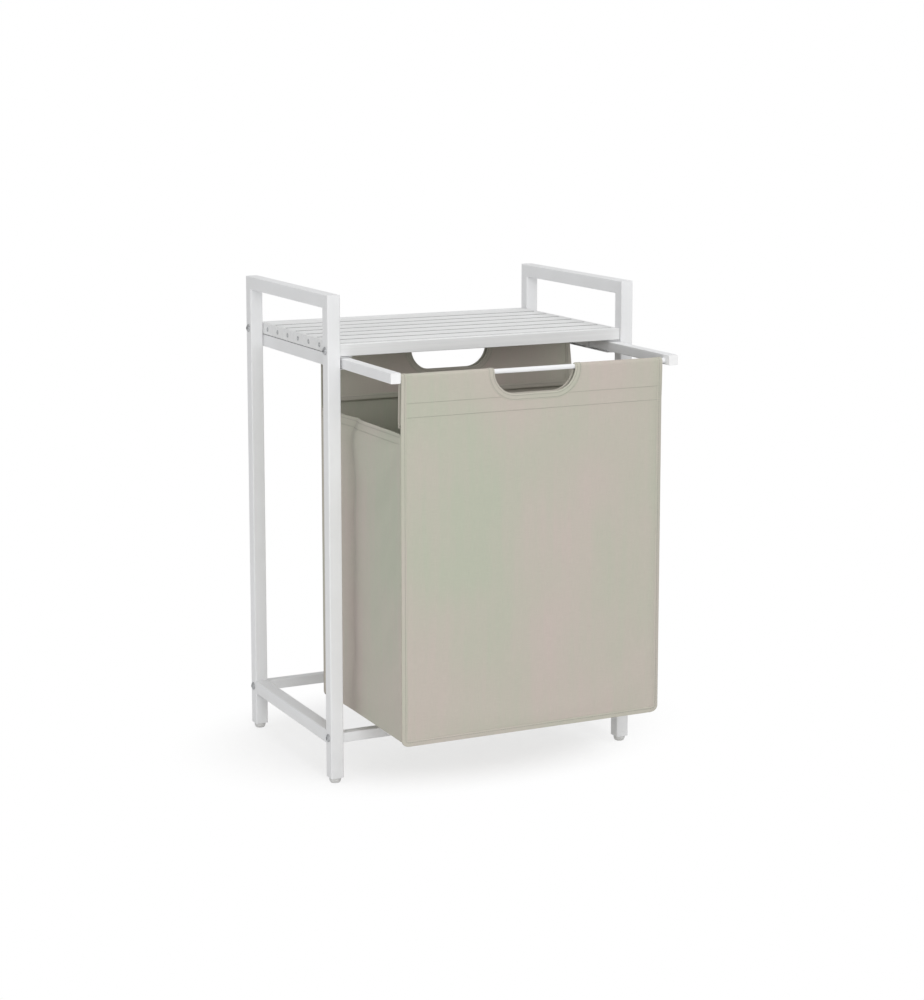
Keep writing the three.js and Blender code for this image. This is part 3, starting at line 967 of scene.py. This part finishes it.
def simulateCloth(places, faces, last, index):
    piece = meshPiece("hanging_cloth", places, faces, clothFinish)
    held = piece.vertex_groups.new(name="held")
    for (i, j, k), number in index.items():
        onSeam = i in (0, last[0]) and j in (0, last[1])
        if places[number][2] > bag["hemStitches"][0] or k == 0 or onSeam:
            held.add([number], 1.0, "REPLACE")
    piece.shape_key_add(name="Basis")
    cut = piece.shape_key_add(name="cut")  # the cloth was cut a little wider than the bag hangs
    centre = Vector((0, bag["middleY"], 0))
    for number, place in enumerate(places):
        spot = Vector(place) - centre
        wide, high = 1 + bag["slack"], 1 + bag["slack"] / 6
        cut.data[number].co = Vector((spot.x * wide, spot.y * wide, spot.z * high)) + centre
    modifier = piece.modifiers.new("cloth", "CLOTH")
    for name, value in clothNature.items():
        setattr(modifier.settings, name, value)
    modifier.settings.vertex_group_mass = "held"
    modifier.settings.rest_shape_key = cut
    modifier.collision_settings.use_collision = False
    modifier.collision_settings.use_self_collision = False
    modifier.point_cache.frame_start = 1
    modifier.point_cache.frame_end = bag["frames"]
    for step in range(1, bag["frames"] + 1):
        scene.frame_set(step)
    graph = bpy.context.evaluated_depsgraph_get()
    shape = piece.evaluated_get(graph).data
    moved = np.zeros(len(shape.vertices) * 3)
    shape.vertices.foreach_get("co", moved)
    bpy.data.objects.remove(piece)
    scene.frame_set(1)
    return moved.reshape(-1, 3)


hang = hangCloth()
print("bag cloth hung")


# A smooth place on a grid of points. Both shares run from 0 to 1.
def smoothPlace(grid, across, along):
    rows, columns = grid.shape[0] - 1, grid.shape[1] - 1
    padded = np.concatenate([2 * grid[:1] - grid[1:2], grid, 2 * grid[-1:] - grid[-2:-1]])
    first = 2 * padded[:, :1] - padded[:, 1:2]
    final = 2 * padded[:, -1:] - padded[:, -2:-1]
    padded = np.concatenate([first, padded, final], axis=1)

    def weights(share, count):
        spot = np.clip(share, 0, 1) * count
        cell = np.minimum(spot.astype(int), count - 1)
        t = spot - cell
        return cell, [(-t + 2 * t**2 - t**3) / 2, (2 - 5 * t**2 + 3 * t**3) / 2,
                      (t + 4 * t**2 - 3 * t**3) / 2, (t**3 - t**2) / 2]

    row, rowWeights = weights(np.asarray(along, float), rows)
    column, columnWeights = weights(np.asarray(across, float), columns)
    place = 0
    for a in range(4):
        for b in range(4):
            place = place + padded[row + a, column + b] * (rowWeights[a] * columnWeights[b])[:, None]
    return place


# The bag: patterns and where they go


class HangingPanel:  # front or rear: up the face, over the bar and down inside as a flap
    def __init__(self, name, inward):
        self.name, self.grid, self.inward = name, hang[name], inward
        self.width = bag["width"]
        self.face = bag["barZ"] - bag["bottom"]
        self.arc = math.pi * bag["sleeve"]
        self.length = self.face + self.arc + bag["barZ"] - bag["flapBottom"]

    def flatOf(self, z):  # how far up the flat pattern a height on the face is
        return z - bag["bottom"]

    def onFace(self, x, z):
        place = smoothPlace(self.grid, x / self.width + 0.5, self.share(z))
        below = np.minimum(z - bag["floor"], 0)
        place[:, 2] += below
        curl = curled(x, z)
        place[:, 1] += self.inward * (curl + below * 0.06)
        place[:, 0] += np.sign(x) * curl * 0.4
        return place

    def share(self, z):  # rows of the grid are even only within each stretch
        lines = latticeLines()[2]
        return np.interp(z, lines, np.linspace(0, 1, len(lines)))

    def place(self, x, along):
        x, along = np.asarray(x, float), np.asarray(along, float)
        place = self.onFace(x, bag["bottom"] + np.minimum(along, self.face))
        turn = (along - self.face) / bag["sleeve"]
        onArc = (turn > 0) & (turn <= math.pi)
        radius = bag["sleeve"]
        place[onArc, 1] += self.inward * radius * (1 - np.cos(turn[onArc]))
        place[onArc, 2] += radius * np.sin(turn[onArc])
        onFlap = turn > math.pi
        z = bag["barZ"] - (along[onFlap] - self.face - self.arc)
        place[onFlap] = self.onFace(x[onFlap], z)
        slope = np.clip((z - bag["hemStitches"][0]) / (bag["barZ"] - bag["hemStitches"][0]), 0, 1)
        place[onFlap, 1] += self.inward * (bag["flapGap"] + (2 * radius - bag["flapGap"]) * slope)
        return place


class SidePanel:  # up the side and folded inwards along the top as a hem
    hem = 0.014
    fold = 0.0009
    skirt = 0.0025  # hangs below the floor

    def __init__(self, name, sign):
        self.name, self.grid, self.inward = name, hang[name], -sign
        self.width = bag["rearY"] - bag["frontY"] - bag["thickness"]
        self.face = bag["sideTop"] - bag["floor"] + self.skirt - self.fold
        self.arc = math.pi * self.fold
        self.length = self.face + self.arc + self.hem

    def onFace(self, across, z):
        tall = bag["sideTop"] - bag["floor"]
        place = smoothPlace(self.grid, across / self.width + 0.5, (z - bag["floor"]) / tall)
        place[:, 2] += np.minimum(z - bag["floor"], 0)
        curl = curled(-self.inward * bag["width"] / 2, z)
        nearEdge = np.clip(1 - (self.width / 2 - np.abs(across)) / 0.05, 0, 1) ** 2
        place[:, 1] -= np.sign(across) * curl * nearEdge
        place[:, 0] -= self.inward * curl * 0.4 * nearEdge
        rise = np.clip((z - bag["floor"]) / 0.1, 0, 1)
        past = across - bag["creaseBack"]
        before, behind = bag["pinchReach"]
        fold = np.clip(1 - np.where(past < 0, -past / before, past / behind), 0, 1) ** 1.3
        place[:, 0] += self.inward * bag["pinch"] * rise * fold
        return place

    def place(self, across, along):
        across, along = np.asarray(across, float), np.asarray(along, float)
        top = bag["sideTop"] - self.fold
        place = self.onFace(across, bag["floor"] - self.skirt + np.minimum(along, self.face))
        turn = (along - self.face) / self.fold
        onArc = (turn > 0) & (turn <= math.pi)
        place[onArc, 0] += self.inward * self.fold * (1 - np.cos(turn[onArc]))
        place[onArc, 2] += self.fold * np.sin(turn[onArc])
        onHem = turn > math.pi
        place[onHem] = self.onFace(across[onHem], top - (along[onHem] - self.face - self.arc))
        place[onHem, 0] += self.inward * 2 * self.fold
        return place


class FloorPanel:
    def __init__(self):
        self.name, self.grid = "floor", hang["floor"]
        self.width = bag["width"] - bag["thickness"]
        self.length = bag["rearY"] - bag["frontY"] - bag["thickness"]

    def place(self, x, along):
        x, along = np.asarray(x, float), np.asarray(along, float)
        place = smoothPlace(self.grid, x / self.width + 0.5, along / self.length)
        curl = curled(x, bag["floor"])
        place[:, 1] += curl * (1 - 2 * along / self.length)
        return place


def lifted(panel, points, lift):  # points of the flat cloth, hung and raised from its middle surface
    x, along = points[:, 0], points[:, 1]
    step = 0.0004
    acrossStep = panel.place(x + step, along) - panel.place(x - step, along)
    alongStep = panel.place(x, along + step) - panel.place(x, along - step)
    normal = np.cross(acrossStep, alongStep)
    normal /= np.linalg.norm(normal, axis=1, keepdims=True)
    return panel.place(x, along) + normal * lift


def roundedOutline(width, low, high, lowCorner, highCorner, spacing=0.004):  # counter-clockwise, about x = 0
    corners = [(width / 2, high, highCorner, 0), (-width / 2, high, highCorner, 1),
               (-width / 2, low, lowCorner, 2), (width / 2, low, lowCorner, 3)]
    points = []
    for x, y, radius, quarter in corners:
        centreX = x - math.copysign(radius, x)
        centreY = y - radius if quarter < 2 else y + radius
        count = max(2, round(radius * math.pi / 2 / spacing * 2))
        for step in range(count + 1):
            angle = (quarter + step / count) * math.pi / 2
            points.append(Vector((centreX + radius * math.cos(angle), centreY + radius * math.sin(angle))))
    result = []
    for i, point in enumerate(points):  # long straight stretches are divided evenly
        following = points[(i + 1) % len(points)]
        pieces = max(1, round((following - point).length / spacing))
        result += [point.lerp(following, step / pieces) for step in range(pieces)]
    return result


def flatPattern(outline, holes, rows, columns):  # triangles of the cloth as it was cut
    border = [Vector(p) for p in outline]
    vertices = list(border)
    edges = [(i, (i + 1) % len(border)) for i in range(len(border))]
    for hole in holes:
        start = len(vertices)
        vertices += hole
        edges += [(start + i, start + (i + 1) % len(hole)) for i in range(len(hole))]
    loops = [border, *holes]

    def clear(x, y):  # well inside the outline and outside every hole
        inside = [isInside(loop, x, y) for loop in loops]
        if not inside[0] or any(inside[1:]):
            return False
        return all(distanceTo(loop, x, y) > 0.0016 for loop in loops)

    vertices += [Vector((x, y)) for y in rows for x in columns if clear(x, y)]
    found = delaunay_2d_cdt(vertices, edges, [], 0, 1e-7)
    flat = np.array([(v.x, v.y) for v in found[0]])
    triangles = []
    for face in found[2]:
        x, y = flat[list(face)].mean(axis=0)
        if isInside(border, x, y) and not any(isInside(hole, x, y) for hole in holes):
            triangles.append(tuple(face))
    return flat, triangles


def isInside(loop, x, y):
    points = loopArray(loop)
    ahead = np.roll(points, -1, axis=0)
    crosses = (points[:, 1] > y) != (ahead[:, 1] > y)
    with np.errstate(divide="ignore", invalid="ignore"):
        at = points[:, 0] + (y - points[:, 1]) * (ahead[:, 0] - points[:, 0]) / (ahead[:, 1] - points[:, 1])
    return np.count_nonzero(crosses & (x < at)) % 2 == 1


def distanceTo(loop, x, y):
    points = loopArray(loop)
    return float(np.hypot(points[:, 0] - x, points[:, 1] - y).min())


loopCache = {}


def loopArray(loop):
    if id(loop) not in loopCache:
        loopCache[id(loop)] = (loop, np.array([(p[0], p[1]) for p in loop]))
    return loopCache[id(loop)][1]


def toLeft(points):  # at each point of a loop, the direction to its left
    ahead = np.roll(points, -1, axis=0) - np.roll(points, 1, axis=0)
    ahead /= np.linalg.norm(ahead, axis=1, keepdims=True)
    return np.stack([-ahead[:, 1], ahead[:, 0]], axis=1)


def clothSheet(name, panel, pattern, material):  # both faces and the cut edge, as one closed piece
    flat, triangles = pattern
    half = bag["thickness"] / 2
    top = lifted(panel, flat, half)
    under = lifted(panel, flat, -half)
    count = len(flat)
    faces = [tuple(t) for t in triangles] + [tuple(count + v for v in reversed(t)) for t in triangles]
    used = {pair: True for t in triangles for pair in zip(t, t[1:] + t[:1])}
    for a, b in used:
        if (b, a) not in used:
            faces.append((b, a, count + a, count + b))
    piece = meshPiece(name, np.concatenate([top, under]), faces, material)
    storeFlat(piece, np.concatenate([flat, flat]))
    outward(piece)
    piece.data.shade_smooth()
    piece.data.set_sharp_from_angle(angle=math.radians(55))
    return piece


def storeFlat(piece, flat):  # each corner keeps its place on the flat cloth, for the weave
    layer = piece.data.uv_layers.new(name="flat")
    corners = np.zeros(len(piece.data.loops), int)
    piece.data.loops.foreach_get("vertex_index", corners)
    layer.data.foreach_set("uv", flat[corners].astype(np.float32).ravel())


# Tape folded over an edge. The loop runs round the edge, and inward is 1 where the cloth is to its left.
def bindingTape(name, panel, loop, inward, width, material):
    points = loopArray(loop)
    towards = toLeft(points) * inward
    lift = bag["thickness"] / 2 + 0.0005
    top = [(width, 0.0004), (width - 0.0002, lift * 0.9), (width - 0.0007, lift), (width / 2, lift * 1.06),
           (0.0004, lift), (-0.0003, lift * 0.75)]
    section = [*top, (-0.0007, 0), *((inset, -height) for inset, height in reversed(top))]
    run = np.concatenate([[0], np.cumsum(np.linalg.norm(np.diff(points, axis=0), axis=1))])
    rings, flats = [], []
    for inset, height in section:
        spot = points + towards * inset
        rings.append(lifted(panel, spot, height))
        flats.append(np.stack([run, np.full(len(run), inset + abs(height))], axis=1))
    n, m = len(points), len(section)
    faces = [(s * n + i, s * n + (i + 1) % n, (s + 1) % m * n + (i + 1) % n, (s + 1) % m * n + i)
             for s in range(m) for i in range(n)]
    piece = meshPiece(name, np.concatenate(rings), faces, material)
    storeFlat(piece, np.concatenate(flats))
    outward(piece)
    piece.data.shade_smooth()
    return piece


# The bag: cutting and sewing

sewing = {
    "pitch": 0.0034,
    "stitch": 0.0024,
    "thread": 0.00028,
    "bottomCorner": 0.009,
    "edgeTape": 0.008,
    "gripTape": 0.0095,
    "gripWidth": 0.130,
    "gripBottom": 0.586,
    "gripCorner": 0.034,
    "threadLift": 0.0001,  # how far a stitch stands off the cloth
    "tapeLift": 0.00065,  # the same, over tape
    "hemRows": (0.003, 0.0125),  # below a side's top edge
    "patternStep": 0.008,
}


def insetLoop(loop, inset, inward=1):
    points = loopArray(loop)
    return points + toLeft(points) * inward * inset


def stitchShape():  # one stitch: a short rounded thread along Z
    length, r = sewing["stitch"] / 2, sewing["thread"]
    rings = [(r * 0.35, -length), (r * 0.9, -length * 0.8), (r, 0), (r * 0.9, length * 0.8),
             (r * 0.35, length)]
    stitch = turnedPiece("stitch", rings, threadFinish, 6)
    stitch.data.shade_smooth()
    return stitch


def sew(name, lines):  # lines of places, each open or closed, as one piece of stitches
    curve = bpy.data.curves.new(name + "_lines", "CURVE")
    curve.dimensions = "3D"
    for places, closed in lines:
        spline = curve.splines.new("POLY")
        spline.points.add(len(places) - 1)
        spline.points.foreach_set("co", np.concatenate([places, np.ones((len(places), 1))], axis=1).ravel())
        spline.use_cyclic_u = closed
    guide = bpy.data.objects.new(name + "_lines", curve)
    scene.collection.objects.link(guide)
    shape = stitchShape()
    values = {"Stitch": shape, "Pitch": sewing["pitch"], "Material": threadFinish}
    mesh = finished(stitching.attach(guide, values))
    mesh.name = name
    piece = bpy.data.objects.new(name, mesh)
    scene.collection.objects.link(piece)
    bpy.data.objects.remove(guide)
    bpy.data.objects.remove(shape)
    return piece


def onBothFaces(panel, points, closed, lift):
    return [(lifted(panel, points, side * (bag["thickness"] / 2 + lift)), closed) for side in (1, -1)]


def rowOfStitches(panel, half, height):
    line = straightLine((-half, height), (half, height))
    return onBothFaces(panel, line, False, sewing["threadLift"])


def straightLine(start, end, spacing=0.004):
    count = max(2, round((Vector(end) - Vector(start)).length / spacing))
    return np.stack([np.linspace(start[0], end[0], count), np.linspace(start[1], end[1], count)], axis=1)


def spaced(low, high, spacing):
    return list(np.linspace(low, high, max(2, round((high - low) / spacing) + 1))[1:-1])


def buildHangingPanel(name, inward):
    panel = HangingPanel(name, inward)
    outline = roundedOutline(panel.width, 0, panel.length, sewing["bottomCorner"], 0.002)
    gripLow = panel.flatOf(sewing["gripBottom"])
    gripHigh = 2 * panel.face + panel.arc - gripLow
    corner = sewing["gripCorner"]
    grip = roundedOutline(sewing["gripWidth"], gripLow, gripHigh, corner, corner, 0.003)
    arcEnd = panel.face + panel.arc
    step = sewing["patternStep"]
    rows = spaced(0, panel.face, step) + list(np.linspace(panel.face, arcEnd, 11))
    rows += spaced(arcEnd, panel.length, 0.006)
    inner = panel.width / 2 - bag["curlWidth"]
    columns = spaced(-inner, inner, step)
    columns += [sign * c for sign in (-1, 1) for c in np.linspace(inner, panel.width / 2, 7)[:-1]]
    sheet = clothSheet(f"bag_{name}_cloth", panel, flatPattern(outline, [grip], rows, columns), clothFinish)
    fit(sheet, "bag_carriage", "bag_cloth", f"bag_{name}_panel")
    edge = bindingTape(f"bag_{name}_edge_binding", panel, outline, 1, sewing["edgeTape"], tapeFinish)
    rim = bindingTape(f"bag_{name}_grip_binding", panel, grip, -1, sewing["gripTape"], tapeFinish)
    edgeRow = insetLoop(outline, sewing["edgeTape"] * 0.65)
    gripRows = [insetLoop(grip, sewing["gripTape"] * share, -1) for share in (0.22, 0.80)]
    lines = []
    for row in (edgeRow, *gripRows):
        lines += onBothFaces(panel, row, True, sewing["tapeLift"])
    for z in bag["hemStitches"]:
        lines += rowOfStitches(panel, panel.width / 2 - sewing["edgeTape"], panel.flatOf(z))
    stitches = sew(f"bag_{name}_stitches", lines)
    for piece in (edge, rim, stitches):
        fit(piece, "bag_carriage", "bag_cloth")


def buildSidePanel(name, sign):
    panel = SidePanel(name, sign)
    outline = roundedOutline(panel.width, 0, panel.length, 0.0015, 0.0015)
    step, arcEnd = sewing["patternStep"], panel.face + panel.arc
    rows = spaced(0, panel.face - 0.001, step) + list(np.linspace(panel.face, arcEnd, 6))
    rows += spaced(arcEnd, panel.length, 0.005)
    fold = bag["creaseBack"]
    low, high = fold - bag["pinchReach"][0], fold + bag["pinchReach"][1]
    columns = [x for x in spaced(-panel.width / 2, panel.width / 2, step) if not low < x < high]
    columns += spaced(low, fold, 0.003) + [fold] + spaced(fold, high, 0.003)
    sheet = clothSheet(f"bag_{name}_cloth", panel, flatPattern(outline, [], rows, columns), clothFinish)
    fit(sheet, "bag_carriage", "bag_cloth", f"bag_{name}_panel")
    lines = []
    for drop in sewing["hemRows"]:
        lines += rowOfStitches(panel, panel.width / 2 - 0.004, panel.face - drop)
    stitches = sew(f"bag_{name}_stitches", lines)
    fit(stitches, "bag_carriage", "bag_cloth")


def buildFloor():
    panel = FloorPanel()
    outline = roundedOutline(panel.width, 0, panel.length, 0.002, 0.002, 0.006)
    rows = spaced(0, panel.length, 0.01)
    columns = spaced(-panel.width / 2, panel.width / 2, 0.01)
    pattern = flatPattern(outline, [], rows, columns)
    sheet = clothSheet("bag_floor_cloth", panel, pattern, clothFinish)
    fit(sheet, "bag_carriage", "bag_cloth", "bag_floor_panel")
    baseBoard = easedCopy("bag_base_sheet", "bag_base_board", sheetFinish, 0.0004)
    fit(baseBoard, "bag_carriage", "base_board", "bag_base_board")


buildHangingPanel("front", 1)
buildHangingPanel("rear", -1)
print("bag panels ready")
for side, sign in sides.items():
    buildSidePanel(side, sign)
buildFloor()
print("bag ready")
